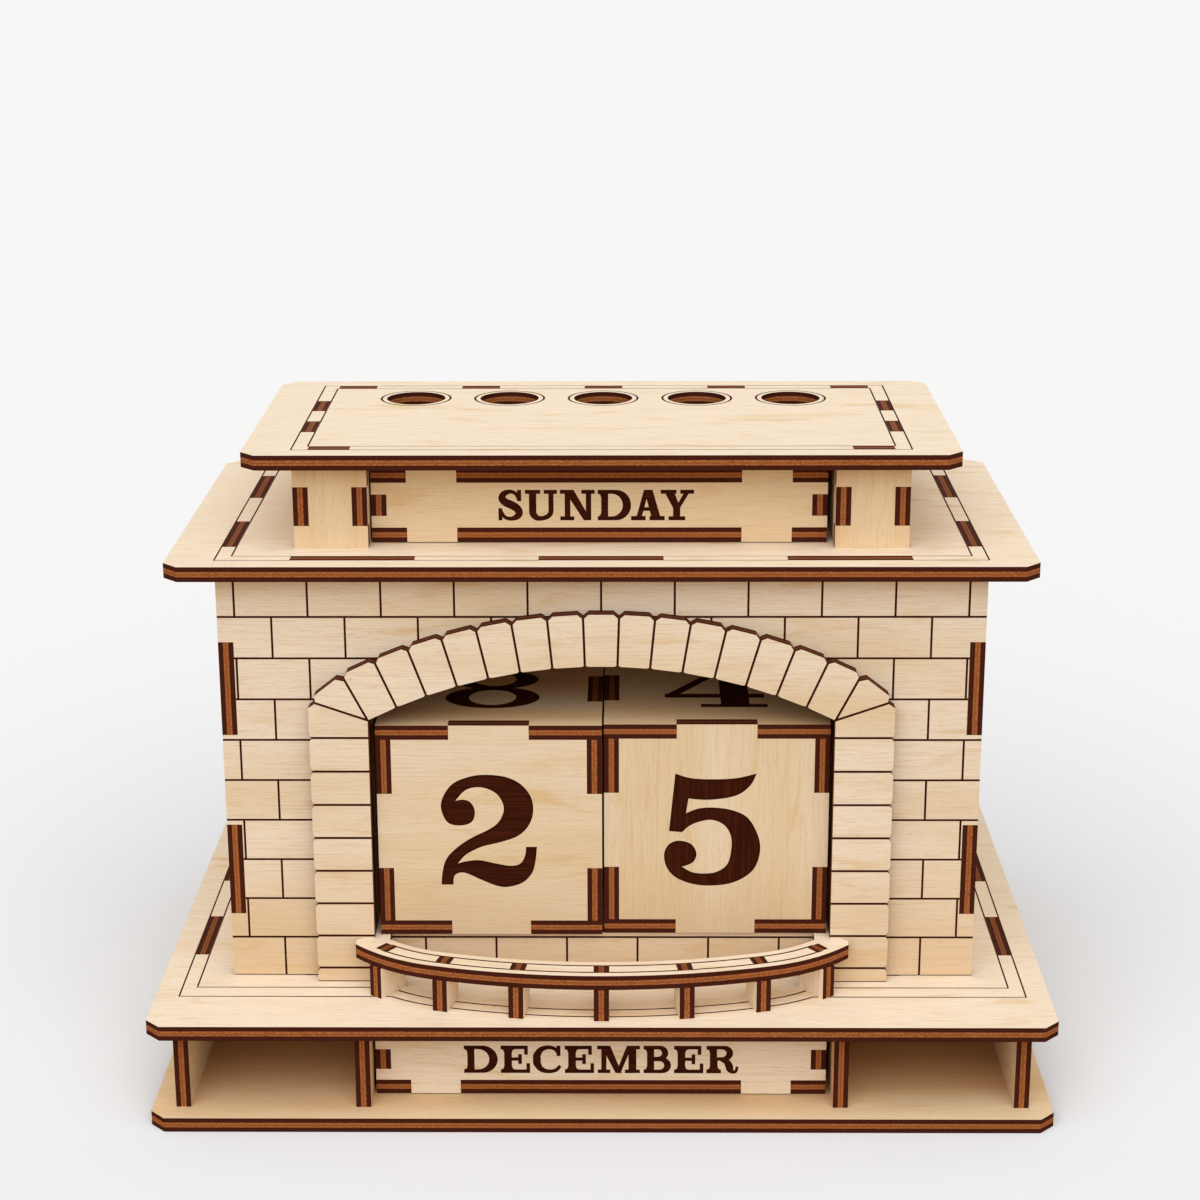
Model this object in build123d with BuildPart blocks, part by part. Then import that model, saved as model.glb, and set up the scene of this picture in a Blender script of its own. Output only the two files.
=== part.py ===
from build123d import *
from math import asin, cos, degrees, radians, sin, sqrt, tan
import os

# Perpetual desk calendar in the shape of a fireplace, put together from laser-cut three-ply boards.
# Three storeys: a base with two cubbies and the month slot, the fireplace with the two day cubes,
# and a small top box with the weekday slot and a well for five pens.
# X runs to the right, Y to the back, Z up. The origin is on the table, under the middle of the base.

# sheet and fits
ply = 3.0                   # thickness of every board
tab_fit = 0.05              # play between a tab and each edge of its slot
slide_gap = 0.2             # air under a cube or block that slides, and behind the last of a row

# day cubes: everything else is built round them
cube_size = 45.0
cube_tab = 16.0
cube_spacing = 0.4          # air between the two cubes
cube_play = 0.95            # air beside the cubes, on each side
cube_shift = 0.25           # the pair stands this far right of the middle
left_cube_proud = 1.3       # how far a cube stands out of the front panel
right_cube_proud = 0.6

# month and weekday blocks
block_size = 15.2
block_play = 1.7            # how much shorter than its slot a block is
block_tab = 10.0
block_tab_inset = 12.0      # middle of a long board's outer tab from the end of the block
block_end_tab = 4.3
slot_headroom = 1.6         # air over the blocks
month_set_back = 5.45       # month block behind the front ends of the uprights
weekday_set_back = 3.75     # weekday block behind the small front panels
month_shift = -0.25
weekday_shift = -0.45
spare_spacing = 0.3         # air between the blocks that stand in a row
spare_months = 2            # blocks behind the front one
spare_weekdays = 1

# pen holder
pen_hole = 12.5
pen_pitch = 20.0
pen_count = 5
pen_well = 19.3             # clear depth of the well behind the divider

# how far each storey's walls stand outside the walls above, and how far the plates reach past the walls
top_shoulder = 14.7         # small front panels beside the weekday slot
mantel_shoulder = 14.65
mantel_step = 8.775         # front and back
hearth_shoulder = 14.5
hearth_reach = 23.5         # front and back
plate_lip = 4.75
mantel_side_lip = 9.65
plate_corner = 3.0          # clipped corners of the plates

# fire opening and its stone surround
spring_room = 1.7           # height over the cubes at which the arch springs
arch_rise = 11.2
arch_stones = 15
stone_length = 10.6
stone_notch = 0.75          # corner of an arch stone cut back at its joint
stone_inner_notch = 0.3
frieze_height = 7.2         # from the arch stones up to the mantel
springer_slope = 19.3       # degrees, bed of the sloping stone between arch and pillar
springer_notch = 1.6
pillar_width = 11.7
pillar_notch = 0.6
course_height = 7.1
full_courses = 7
top_course = 3.7            # inner height of the stone on top of the pillar

# fender: a rail on posts, one board with the shelf that carries the cubes
post_height = 6.6
post_depth = 7.0
post_tab = 3.0
middle_post_spacing = 16.4
next_post_spacing = 14.8
end_post_inset = 2.85       # inside the side of the fire opening
lug_width = 3.15
rail_width = 6.4
rail_set_back = 6.2         # middle of the rail behind the front edge of the hearth
rail_tip_reach = 3.55       # outside the side of the fire opening
rail_tip_side = 2.75        # straight side of the rail's tip, round included
rail_tip_round = 1.6
rail_end_radius = 31.0
rail_end_inset = 21.9       # centre of the end arc inside the side of the fire opening

# tabs, by the length that shows on the plates
long_tab = 19.3
front_tab = 24.3
cheek_tab = 13.0
cubby_tab = 12.0
top_side_tab = 9.7
top_front_tab = 8.1
partition_tab = 7.8
top_back_pitch = 26.7       # between the tabs along the back of the pen plate

# widths, from the cubes outwards
bay_width = 2 * cube_size + cube_spacing + 2 * cube_play
block_length = bay_width - block_play
top_width = bay_width + 2 * top_shoulder
box_width = top_width + 2 * mantel_shoulder
base_width = box_width + 2 * hearth_shoulder

# depths: the weekday row, the divider and the pen well fill the top box
top_depth = weekday_set_back + (1 + spare_weekdays) * block_size + spare_weekdays * spare_spacing
top_depth += slide_gap + ply + pen_well + ply
box_depth = top_depth + 2 * mantel_step
base_depth = box_depth + 2 * hearth_reach

# heights of the plates, by their undersides and tops
base_storey = block_size + slide_gap + slot_headroom
top_storey = base_storey
hearth_under = ply + base_storey
hearth_top = hearth_under + ply
shelf_top = hearth_top + post_height + ply
cube_under = shelf_top + slide_gap
spring = cube_under + cube_size + spring_room
arch_top = spring + arch_rise
mantel_under = arch_top + stone_length + frieze_height
box_storey = mantel_under - hearth_top
mantel_top = mantel_under + ply
pen_plate_under = mantel_top + top_storey
base_middle = ply + base_storey / 2
box_middle = hearth_top + box_storey / 2
top_middle = mantel_top + top_storey / 2

# middle planes of the walls
bay_side = bay_width / 2
bay_wall = bay_side + ply / 2
base_wall = base_width / 2 - plate_lip - ply / 2
base_length = base_depth - 2 * plate_lip
box_wall = box_width / 2 - ply / 2
box_front = -box_depth / 2 + ply / 2
box_back = -box_front
top_wall = top_width / 2 - ply / 2
top_front = -top_depth / 2 + ply / 2
top_back = -top_front
divider_at = top_back - ply / 2 - pen_well - ply / 2

flat = Plane.XY
upright_across = Plane.XZ   # a standing board that faces the front
upright_along = Plane.YZ    # a standing board that faces the sides

os.makedirs("parts", exist_ok=True)


def save(part, label):
    part.label = label
    export_step(part, f"parts/{label}.step")


def placed(facing, x, y, z):
    return Plane(origin=(x, y, z), x_dir=facing.x_dir, z_dir=facing.z_dir)


# centres of a row of equal tabs, with gaps as long as the tabs
def tab_row(count, length):
    return [(place - (count - 1) / 2) * 2 * length for place in range(count)]


# one flat board, drawn about its middle: its tabs reach past the outline, its slots are cut out of it
def board(plane, width, height, tabs=(), slots=(), corner=0):
    with BuildPart() as cut_out:
        with BuildSketch(plane):
            Rectangle(width, height)
            if corner:
                chamfer(vertices(), length=corner)
            for x, y, tab_width, tab_height in tabs:
                with Locations((x, y)):
                    Rectangle(tab_width, tab_height)
            for x, y, slot_width, slot_height in slots:
                with Locations((x, y)):
                    Rectangle(slot_width + 2 * tab_fit, slot_height + 2 * tab_fit, mode=Mode.SUBTRACT)
        extrude(amount=ply / 2, both=True)
    return cut_out.part


def tabs_below(places, height, length):
    return [(place, -height / 2 - ply / 2, length, ply) for place in places]


def tabs_above(places, height, length):
    return [(place, height / 2 + ply / 2, length, ply) for place in places]


def tabs_at_ends(places, width, length):
    return [(side * (width / 2 + ply / 2), place, ply, length) for side in (-1, 1) for place in places]


# slots in a level plate under or over boards that run front to back, and boards that run across
def slots_along(walls, places, length):
    return [(wall, place, ply, length) for wall in walls for place in places]


def slots_across(walls, places, length):
    return [(place, wall, length, ply) for wall in walls for place in places]


sides = {"left": -1, "right": 1}
long_places = tab_row(2, long_tab)
front_places = tab_row(3, front_tab)

# base: four uprights between two plates, and a back wall to each cubby
cubby_middle = (base_wall + bay_wall) / 2
cubby_width = base_wall - bay_wall - ply
cubby_back = base_length / 2 - ply / 2
base_slots = slots_along((-base_wall, -bay_wall, bay_wall, base_wall), long_places, long_tab)
base_slots += slots_across((cubby_back,), (-cubby_middle, cubby_middle), cubby_tab)

save(board(placed(flat, 0, 0, ply / 2), base_width, base_depth, slots=base_slots, corner=plate_corner),
     "bottom_plate")

for side, sign in sides.items():
    for name, wall in (("outer", base_wall), ("inner", bay_wall)):
        tabs = tabs_below(long_places, base_storey, long_tab) + tabs_above(long_places, base_storey, long_tab)
        plane = placed(upright_along, sign * wall, 0, base_middle)
        save(board(plane, base_length, base_storey, tabs), f"{name}_upright_{side}")
    tabs = tabs_below((0,), base_storey, cubby_tab) + tabs_above((0,), base_storey, cubby_tab)
    plane = placed(upright_across, sign * cubby_middle, cubby_back, base_middle)
    save(board(plane, cubby_width, base_storey, tabs), f"cubby_back_{side}")

# fender rail: a middle arc and two end arcs that meet it in line. The end arcs are placed by the rail's
# tips, and the middle arc's radius follows from them
panel_face = -box_depth / 2
trim_face = panel_face - ply
rail_reach = bay_side + rail_tip_reach
tip_at = trim_face - rail_tip_side
end_centre_x = bay_side - rail_end_inset
outer_end = rail_end_radius + rail_width / 2
inner_end = rail_end_radius - rail_width / 2
end_centre_y = tip_at + sqrt(outer_end**2 - (rail_reach - end_centre_x) ** 2)
rail_apex = -base_depth / 2 + rail_set_back
rise = rail_apex - end_centre_y
rail_radius = (rail_end_radius**2 - end_centre_x**2 - rise**2) / (2 * (rise + rail_end_radius))
rail_centre = rail_apex + rail_radius
meeting_turn = asin(end_centre_x / (rail_radius - rail_end_radius))


# a point at some reach from the centre of the middle arc, or of the right end arc
def middle_point(reach, turn):
    return reach * sin(turn), rail_centre - reach * cos(turn)


def end_point(reach, turn):
    return end_centre_x + reach * sin(turn), end_centre_y - reach * cos(turn)


# where a post stands on the rail's middle line, and the angle that it is turned by
def post_place(x):
    if abs(x) <= rail_radius * sin(meeting_turn):
        turn = asin(x / rail_radius)
        return *middle_point(rail_radius, turn), turn
    turn = asin((abs(x) - end_centre_x) / rail_end_radius)
    end_x, end_y = end_point(rail_end_radius, turn)
    sign = 1 if x > 0 else -1
    return sign * end_x, end_y, sign * turn


side_posts = (middle_post_spacing, middle_post_spacing + next_post_spacing, bay_side - end_post_inset)
posts = [post_place(sign * x) for sign in (-1, 1) for x in side_posts] + [post_place(0)]
post_slots = [Location((x, y, 0), (0, 0, degrees(turn))) for x, y, turn in posts]

# hearth: slots for the base below it, the fireplace above it and the fender's posts
fire_back_at = panel_face - right_cube_proud + cube_size + slide_gap + ply / 2

hearth_slots = base_slots + slots_along((-box_wall, box_wall), long_places, long_tab)
hearth_slots += slots_across((box_front, box_back), front_places, front_tab)
hearth_slots += slots_along((-bay_wall, bay_wall), (0,), cheek_tab)
hearth_slots += slots_across((fire_back_at,), (0,), front_tab)

with BuildPart() as hearth_plate:
    add(board(placed(flat, 0, 0, hearth_under + ply / 2), base_width, base_depth, slots=hearth_slots,
              corner=plate_corner))
    with BuildSketch(Plane.XY.offset(hearth_under)):
        with Locations(*post_slots):
            Rectangle(ply + 2 * tab_fit, post_tab + 2 * tab_fit)
    extrude(amount=ply, mode=Mode.SUBTRACT)
save(hearth_plate.part, "hearth_plate")

# posts of the fender: one straight board each, tabbed through the hearth and the rail
with BuildPart() as fender_posts:
    for x, y, turn in posts:
        radial = Plane(origin=(x, y, hearth_top + post_height / 2), x_dir=(sin(turn), -cos(turn), 0),
                       z_dir=(cos(turn), sin(turn), 0))
        with BuildSketch(radial):
            Rectangle(post_depth, post_height)
            Rectangle(post_tab, post_height + 2 * ply)
        extrude(amount=ply / 2, both=True)
save(fender_posts.part, "fender_posts")

# shelf, lugs and fender rail are one board: the lugs pass through the front panel
lug_inside = bay_side - lug_width
shelf_side = bay_side - tab_fit
shelf_front = panel_face + ply + tab_fit
shelf_back = fire_back_at - ply / 2
shelf_tab_at = (shelf_front + shelf_back) / 2

with BuildPart() as shelf_and_fender:
    with BuildSketch(Plane.XY.offset(shelf_top - ply)):
        with BuildLine():
            middle_outer = rail_radius + rail_width / 2
            middle_inner = rail_radius - rail_width / 2
            outer_arc = CenterArc((0, rail_centre), middle_outer, -90, degrees(meeting_turn))
            outer_tip = RadiusArc(outer_arc @ 1, (rail_reach, tip_at), -outer_end)
            side = Line(outer_tip @ 1, (rail_reach, trim_face - rail_tip_round))
            rounding = RadiusArc(side @ 1, (rail_reach - rail_tip_round, trim_face), -rail_tip_round)
            lug_turn = asin((lug_inside - end_centre_x) / inner_end)
            inside = Polyline(rounding @ 1, (shelf_side, trim_face), (shelf_side, shelf_back), (0, shelf_back),
                              (0, shelf_front), (lug_inside, shelf_front), end_point(inner_end, lug_turn))
            inner_tip = RadiusArc(inside @ 1, middle_point(middle_inner, meeting_turn), inner_end)
            inner_arc = CenterArc((0, rail_centre), middle_inner, -90, degrees(meeting_turn))
            Line(inner_arc @ 0, outer_arc @ 0)
        make_face()
        mirror(about=Plane.YZ)
        with Locations(*[(sign * (bay_side + (ply - tab_fit) / 2), shelf_tab_at) for sign in sides.values()]):
            Rectangle(ply + tab_fit, long_tab)
        with Locations(*post_slots):
            Rectangle(ply + 2 * tab_fit, post_tab + 2 * tab_fit, mode=Mode.SUBTRACT)
    extrude(amount=ply)
save(shelf_and_fender.part, "shelf_and_fender")

# fireplace walls
inner_depth = box_depth - 2 * ply
side_tabs = tabs_below(long_places, box_storey, long_tab) + tabs_above(long_places, box_storey, long_tab)
side_tabs += tabs_at_ends(long_places, inner_depth, long_tab)
for side, sign in sides.items():
    save(board(placed(upright_along, sign * box_wall, 0, box_middle), inner_depth, box_storey, side_tabs),
         f"side_wall_{side}")

across_tabs = tabs_below(front_places, box_storey, front_tab) + tabs_above(front_places, box_storey, front_tab)
edge_slots = slots_along((-box_wall, box_wall), long_places, long_tab)
save(board(placed(upright_across, 0, box_back, box_middle), box_width, box_storey, across_tabs, edge_slots),
     "back_wall")

# the arch is the circle through both springing points and the crown
arch_radius = (bay_side**2 + arch_rise**2) / (2 * arch_rise)
arch_centre = arch_top - arch_radius
stone_angle = 2 * asin(bay_side / arch_radius) / arch_stones
lug_under = shelf_top - ply - tab_fit

with BuildPart() as front_panel:
    add(board(placed(upright_across, 0, box_front, box_middle), box_width, box_storey, across_tabs, edge_slots))
    with BuildSketch(Plane.XZ.offset(-box_front)):
        with BuildLine():
            ThreePointArc((-bay_side, spring), (0, arch_top), (bay_side, spring))
            Polyline((bay_side, spring), (bay_side, lug_under), (lug_inside - tab_fit, lug_under),
                     (lug_inside - tab_fit, shelf_top), (tab_fit - lug_inside, shelf_top),
                     (tab_fit - lug_inside, lug_under), (-bay_side, lug_under), (-bay_side, spring))
        make_face()
    extrude(amount=ply, both=True, mode=Mode.SUBTRACT)
save(front_panel.part, "front_panel")


# the outline of a stone, with each corner cut back by its own length along both edges
def stone(corners, cuts):
    outline = []
    points = [Vector(*corner) for corner in corners]
    for place, (point, cut) in enumerate(zip(points, cuts)):
        before = points[place - 1]
        after = points[(place + 1) % len(points)]
        if cut:
            outline.append(point + (before - point).normalized() * cut)
            outline.append(point + (after - point).normalized() * cut)
        else:
            outline.append(point)
    return outline


def arch_point(reach, angle):
    return reach * sin(angle), arch_centre + reach * cos(angle)


pillar_side = bay_side + pillar_width
stone_corner = (arch_radius + stone_length) / cos(stone_angle / 2)
last_joint = stone_angle * arch_stones / 2
springer_corner = (pillar_side, spring + pillar_width * tan(radians(springer_slope)))
pillar_top = spring - top_course

with BuildPart() as arch_trim:
    with BuildSketch(Plane.XZ.offset(-panel_face)):
        for place in range(arch_stones // 2 + 1):
            far = (place + 1 / 2) * stone_angle
            near = far - stone_angle
            corners = (arch_point(arch_radius, near), arch_point(stone_corner, near),
                       arch_point(stone_corner, far), arch_point(arch_radius, far))
            Polygon(*stone(corners, (stone_inner_notch, stone_notch, stone_notch, stone_inner_notch)), align=None)
        springer = (arch_point(stone_corner, last_joint), springer_corner, (bay_side, spring))
        Polygon(*stone(springer, (springer_notch, springer_notch, 0)), align=None)
        top_stone = ((bay_side, spring), springer_corner, (pillar_side, pillar_top), (bay_side, pillar_top))
        Polygon(*stone(top_stone, (0, springer_notch, pillar_notch, 0)), align=None)
        for place in range(full_courses):
            top = pillar_top - place * course_height
            corners = ((bay_side, top), (pillar_side, top), (pillar_side, top - course_height),
                       (bay_side, top - course_height))
            Polygon(*stone(corners, (0, pillar_notch, pillar_notch, 0)), align=None)
        foot_top = pillar_top - full_courses * course_height
        foot = ((bay_side, foot_top), (pillar_side, foot_top), (pillar_side, hearth_top), (bay_side, hearth_top))
        Polygon(*stone(foot, (0, pillar_notch, 0, 0)), align=None)
        mirror(about=Plane.YZ)
    extrude(amount=ply)
save(arch_trim.part, "arch_trim")

# inside the fireplace: a cheek beside each cube, with a slot for the shelf, and the wall behind the cubes
cheek_length = inner_depth
cheek_tabs = tabs_below((0,), box_storey, cheek_tab) + tabs_above((0,), box_storey, cheek_tab)
shelf_slot = (shelf_tab_at, shelf_top - ply / 2 - box_middle, long_tab, ply)
fire_back_slots = slots_along((fire_back_at,), long_places, long_tab)
for side, sign in sides.items():
    plane = placed(upright_along, sign * bay_wall, 0, box_middle)
    save(board(plane, cheek_length, box_storey, cheek_tabs, [shelf_slot, *fire_back_slots]), f"fire_cheek_{side}")

fire_back_tabs = tabs_below((0,), box_storey, front_tab) + tabs_at_ends(long_places, bay_width, long_tab)
save(board(placed(upright_across, 0, fire_back_at, box_middle), bay_width, box_storey, fire_back_tabs), "fire_back")

# mantel plate
mantel_width = box_width + 2 * mantel_side_lip
mantel_depth = box_depth + 2 * plate_lip
small_front_width = (top_width - bay_width) / 2
small_front_at = (top_width + bay_width) / 4
small_tab_at = (bay_side + ply + top_wall - ply / 2) / 2
mantel_slots = slots_along((-box_wall, box_wall), long_places, long_tab)
mantel_slots += slots_across((box_front, box_back), front_places, front_tab)
mantel_slots += slots_along((-bay_wall, bay_wall), (0,), cheek_tab)
mantel_slots += slots_across((top_front, top_back), (-small_tab_at, small_tab_at), top_front_tab)
save(board(placed(flat, 0, 0, mantel_under + ply / 2), mantel_width, mantel_depth, slots=mantel_slots,
           corner=plate_corner), "mantel_plate")

# top box: small front panels, partitions beside the weekday slot, side walls, divider and back wall
top_inner_depth = top_depth - 2 * ply
top_side_places = tab_row(2, top_side_tab)
for side, sign in sides.items():
    both_tabs = [*tabs_below((0,), top_storey, top_front_tab), *tabs_above((0,), top_storey, top_front_tab)]
    edge = small_front_width / 2 - ply / 2
    plane = placed(upright_across, sign * small_front_at, top_front, top_middle)
    shift = sign * (small_tab_at - small_front_at)
    small_tabs = [(x + shift, y, width, height) for x, y, width, height in both_tabs]
    save(board(plane, small_front_width, top_storey, small_tabs, slots_along((-edge, edge), (0,), partition_tab)),
         f"small_front_{side}")

    tabs = tabs_above(top_side_places, top_storey, top_side_tab) + tabs_at_ends((0,), top_inner_depth, partition_tab)
    plane = placed(upright_along, sign * top_wall, 0, top_middle)
    divider_slot = (divider_at, 0, ply, partition_tab)
    save(board(plane, top_inner_depth, top_storey, tabs, [divider_slot]), f"top_side_{side}")

    partition_front = top_front + ply / 2
    partition_length = divider_at - ply / 2 - partition_front
    plane = placed(upright_along, sign * bay_wall, partition_front + partition_length / 2, top_middle)
    save(board(plane, partition_length, top_storey, tabs_at_ends((0,), partition_length, partition_tab)),
         f"partition_{side}")

divider_width = 2 * top_wall - ply
save(board(placed(upright_across, 0, divider_at, top_middle), divider_width, top_storey,
           tabs_at_ends((0,), divider_width, partition_tab), slots_along((-bay_wall, bay_wall), (0,), partition_tab)),
     "well_divider")

back_tab_places = [-small_tab_at, -top_back_pitch, 0, top_back_pitch, small_tab_at]
back_tabs = tabs_above(back_tab_places, top_storey, top_front_tab)
back_tabs += tabs_below((-small_tab_at, small_tab_at), top_storey, top_front_tab)
save(board(placed(upright_across, 0, top_back, top_middle), top_width, top_storey, back_tabs,
           slots_along((-top_wall, top_wall), (0,), partition_tab)), "top_back_wall")

# pen plate, with its row of holes over the middle of the well
pen_row = (divider_at + top_back) / 2
pen_slots = slots_along((-top_wall, top_wall), top_side_places, top_side_tab)
pen_slots += slots_across((top_front,), (-small_tab_at, small_tab_at), top_front_tab)
pen_slots += slots_across((top_back,), back_tab_places, top_front_tab)
with BuildPart() as pen_plate:
    add(board(placed(flat, 0, 0, pen_plate_under + ply / 2), top_width + 2 * mantel_side_lip,
              top_depth + 2 * plate_lip, slots=pen_slots, corner=plate_corner))
    with Locations((0, pen_row, pen_plate_under + ply)):
        with GridLocations(pen_pitch, 0, pen_count, 1):
            Hole(pen_hole / 2)
save(pen_plate.part, "pen_plate")


# a closed box of six boards. In its own frame the two long boards run along x and the two ends along y;
# lid and floor are whole, and every board shows its tabs in the faces of its neighbours
def boxed(frame, length, depth, height, long_places, long_side_tab, end_tab):
    core = height - 2 * ply
    inner = depth - 2 * ply
    rims = slots_across((-(depth - ply) / 2, (depth - ply) / 2), long_places, long_side_tab)
    rims += slots_along((-(length - ply) / 2, (length - ply) / 2), (0,), end_tab)
    boards = {}
    for name, sign in (("top", 1), ("bottom", -1)):
        plane = Plane(frame.from_local_coords((0, 0, sign * (height - ply) / 2)), frame.x_dir, frame.z_dir)
        boards[name] = board(plane, length, depth, slots=rims)
    long_tabs = tabs_below(long_places, core, long_side_tab) + tabs_above(long_places, core, long_side_tab)
    end_slots = slots_along((-(length - ply) / 2, (length - ply) / 2), (0,), end_tab)
    for name, sign in (("near", -1), ("far", 1)):
        plane = Plane(frame.from_local_coords((0, sign * (depth - ply) / 2, 0)), frame.x_dir, -frame.y_dir)
        boards[name] = board(plane, length, core, long_tabs, end_slots)
    end_tabs = tabs_below((0,), core, end_tab) + tabs_above((0,), core, end_tab)
    end_tabs += tabs_at_ends((0,), inner, end_tab)
    for name, sign in (("start", -1), ("end", 1)):
        plane = Plane(frame.from_local_coords((sign * (length - ply) / 2, 0, 0)), frame.y_dir, frame.x_dir)
        boards[name] = board(plane, inner, core, end_tabs)
    return boards


# day cubes: the boards at the sides are the long ones, so the frame of a cube is turned to run back to front
cube_sides = {"top": "top", "bottom": "bottom", "near": "right", "far": "left", "start": "front", "end": "back"}
cube_places = {"left": (-1, left_cube_proud), "right": (1, right_cube_proud)}
for name, (sign, proud) in cube_places.items():
    middle_x = cube_shift + sign * (cube_size + cube_spacing) / 2
    middle_y = panel_face - proud + cube_size / 2
    frame = Plane((middle_x, middle_y, cube_under + cube_size / 2), x_dir=(0, 1, 0), z_dir=(0, 0, 1))
    boards = boxed(frame, cube_size, cube_size, cube_size, (0,), cube_tab, cube_tab)
    for face, piece in boards.items():
        save(piece, f"{name}_cube_{cube_sides[face]}")


# blocks lie across the slot, in a row from the front one to the last
def block(shift, front, under):
    frame = Plane((shift, front + block_size / 2, under + block_size / 2), x_dir=(1, 0, 0), z_dir=(0, 0, 1))
    places = (block_tab_inset - block_length / 2, block_length / 2 - block_tab_inset)
    return boxed(frame, block_length, block_size, block_size, places, block_tab, block_end_tab)


block_sides = {"top": "top", "bottom": "bottom", "near": "front", "far": "back", "start": "left_end",
               "end": "right_end"}
month_front = -base_length / 2 + month_set_back
weekday_front = -top_depth / 2 + weekday_set_back
rows = {"month": (month_shift, month_front, ply + slide_gap, spare_months),
        "weekday": (weekday_shift, weekday_front, mantel_top + slide_gap, spare_weekdays)}
for name, (shift, front, under, spares) in rows.items():
    for face, piece in block(shift, front, under).items():
        save(piece, f"{name}_block_{block_sides[face]}")
    for place in range(1, spares + 1):
        behind = front + place * (block_size + spare_spacing)
        pieces = list(block(shift, behind, under).values())
        label = f"spare_{name}_block" if spares == 1 else f"spare_{name}_block_{place}"
        save(Compound(children=pieces), label)
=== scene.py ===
from math import asin, cos, pi, radians, sin, tan

import bmesh
import bpy
from mathutils import Matrix, Vector
from mathutils.geometry import delaunay_2d_cdt


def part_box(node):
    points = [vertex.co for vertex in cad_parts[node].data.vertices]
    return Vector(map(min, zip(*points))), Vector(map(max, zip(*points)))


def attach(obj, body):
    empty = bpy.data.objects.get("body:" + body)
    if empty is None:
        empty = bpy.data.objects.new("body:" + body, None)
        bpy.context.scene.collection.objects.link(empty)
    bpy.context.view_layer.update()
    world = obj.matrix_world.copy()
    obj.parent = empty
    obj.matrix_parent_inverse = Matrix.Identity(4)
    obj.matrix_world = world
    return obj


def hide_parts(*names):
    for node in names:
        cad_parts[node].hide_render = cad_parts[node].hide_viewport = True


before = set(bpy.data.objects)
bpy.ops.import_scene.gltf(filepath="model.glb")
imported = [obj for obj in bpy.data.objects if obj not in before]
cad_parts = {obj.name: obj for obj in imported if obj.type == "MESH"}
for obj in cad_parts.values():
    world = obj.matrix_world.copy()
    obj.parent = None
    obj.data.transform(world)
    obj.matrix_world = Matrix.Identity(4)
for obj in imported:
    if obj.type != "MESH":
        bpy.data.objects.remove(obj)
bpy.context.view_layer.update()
mm = 0.001
weldReach = 1e-6    # metres, within which loose corners are one


# wraps a socket, so that sums of sockets and numbers read as sums; each operator adds one Math node
class Wire:
    def __init__(self, net, socket):
        self.net = net
        self.socket = socket

    def pick(self, name):
        return Wire(self.net, self.socket.node.outputs[name])

    def math(self, operation, *terms):
        return self.net.add("ShaderNodeMath", {"operation": operation}, dict(enumerate(terms)))

    def __add__(self, other):
        return self.math("ADD", self, other)

    def __sub__(self, other):
        return self.math("SUBTRACT", self, other)

    def __rsub__(self, other):
        return self.math("SUBTRACT", other, self)

    def __mul__(self, other):
        return self.math("MULTIPLY", self, other)

    def __truediv__(self, other):
        return self.math("DIVIDE", self, other)

    def __mod__(self, other):
        return self.math("FLOORED_MODULO", self, other)

    def __abs__(self):
        return self.math("ABSOLUTE", self)

    def __gt__(self, other):
        return self.math("GREATER_THAN", self, other)

    def __lt__(self, other):
        return self.math("LESS_THAN", self, other)

    __radd__ = __add__
    __rmul__ = __mul__


class Net:
    def __init__(self, tree):
        self.tree = tree

    # a node from its type, its settings and what its sockets get: a wire, a list of wires or a plain value
    def add(self, kind, settings=None, sockets=None):
        node = self.tree.nodes.new(kind)
        for name, value in (settings or {}).items():
            setattr(node, name, value)
        for name, value in (sockets or {}).items():
            for given in value if isinstance(value, list) else [value]:
                if isinstance(given, Wire):
                    self.tree.links.new(given.socket, node.inputs[name])
                else:
                    node.inputs[name].default_value = given
        shown = [socket for socket in node.outputs if socket.enabled]
        return Wire(self, shown[0]) if shown else None

    def vector(self, operation, *terms):
        return self.add("ShaderNodeVectorMath", {"operation": operation}, dict(enumerate(terms)))

    def combine(self, x, y, z):
        return self.add("ShaderNodeCombineXYZ", None, {0: x, 1: y, 2: z})

    # how far a spot lies along an axis, in mm
    def reach(self, spot, axis):
        return self.vector("DOT_PRODUCT", spot, tuple(part / mm for part in axis))

    def noise(self, place, shift, stretch, detail, roughness=0.5, distortion=0.0):
        moved = self.vector("MULTIPLY_ADD", place, stretch, shift)
        values = {"Vector": moved, "Scale": 1.0, "Detail": detail, "Roughness": roughness,
                  "Distortion": distortion}
        return self.add("ShaderNodeTexNoise", None, values)

    # 0 below low, 1 above high, smooth between
    def ease(self, value, low, high):
        return self.add("ShaderNodeMapRange", {"interpolation_type": "SMOOTHSTEP"},
                        {"Value": value, "From Min": low, "From Max": high})

    def blend(self, share, first, second):
        return self.add("ShaderNodeMix", {"data_type": "RGBA"}, {0: share, 6: first, 7: second})


# a colour as a paint program shows it, 0 to 255
def paint(red, green, blue):
    def linear(value):
        part = value / 255
        return part / 12.92 if part <= 0.04045 else ((part + 0.055) / 1.055) ** 2.4
    return linear(red), linear(green), linear(blue), 1.0


def newPiece(name, data):
    piece = bpy.data.objects.new(name, data)
    bpy.context.scene.collection.objects.link(piece)
    return piece


def pieceFrom(shape, name):
    mesh = bpy.data.meshes.new(name)
    shape.to_mesh(mesh)
    shape.free()
    return newPiece(name, mesh)


# turned to one side and tipped down from the horizon, in degrees
def aimed(aside, down):
    return Matrix.Rotation(radians(aside), 4, "Z") @ Matrix.Rotation(radians(90 - down), 4, "X")


# place, lens and sensor in mm, turns in degrees, near and far in metres
view = {"place": (4.79, -503.88, 245.01), "down": 16.93, "aside": -0.617, "tilt": -0.198, "lens": 74.59,
        "sensor": 36.0, "near": 0.01, "far": 50.0}

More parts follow.
